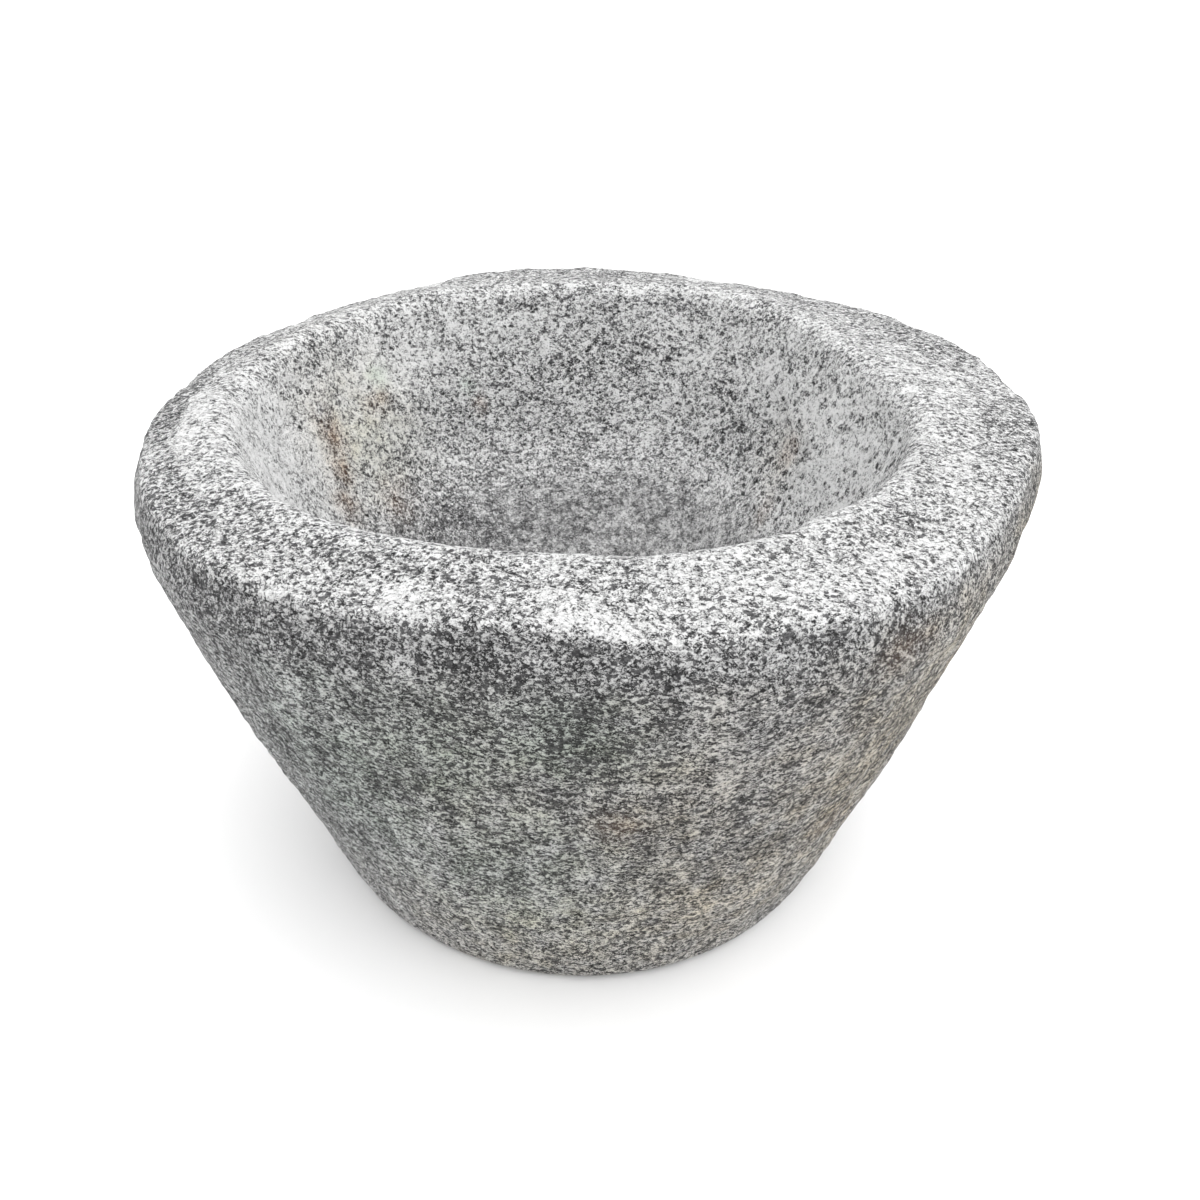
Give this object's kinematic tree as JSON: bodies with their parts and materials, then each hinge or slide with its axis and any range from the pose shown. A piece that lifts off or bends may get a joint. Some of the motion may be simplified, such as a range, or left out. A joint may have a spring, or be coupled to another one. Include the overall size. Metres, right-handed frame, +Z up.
{
  "type": "stone mortar bowl",
  "caption": "Hand-carved granite mortar bowl: flat foot, widening wall, thick rim and a round grinding hollow.",
  "frame": {"origin": "on the floor, under the middle of the flat foot", "axes": "+Z up out of the hollow; +X towards the thickest side of the rim; -Y is the side usually seen"},
  "size_m": [0.4026, 0.3994, 0.232],
  "materials": {
    "granite": "rough pecked granite"
  },
  "bodies": {
    "root": {"bowl": "granite"}
  },
  "joints": []
}
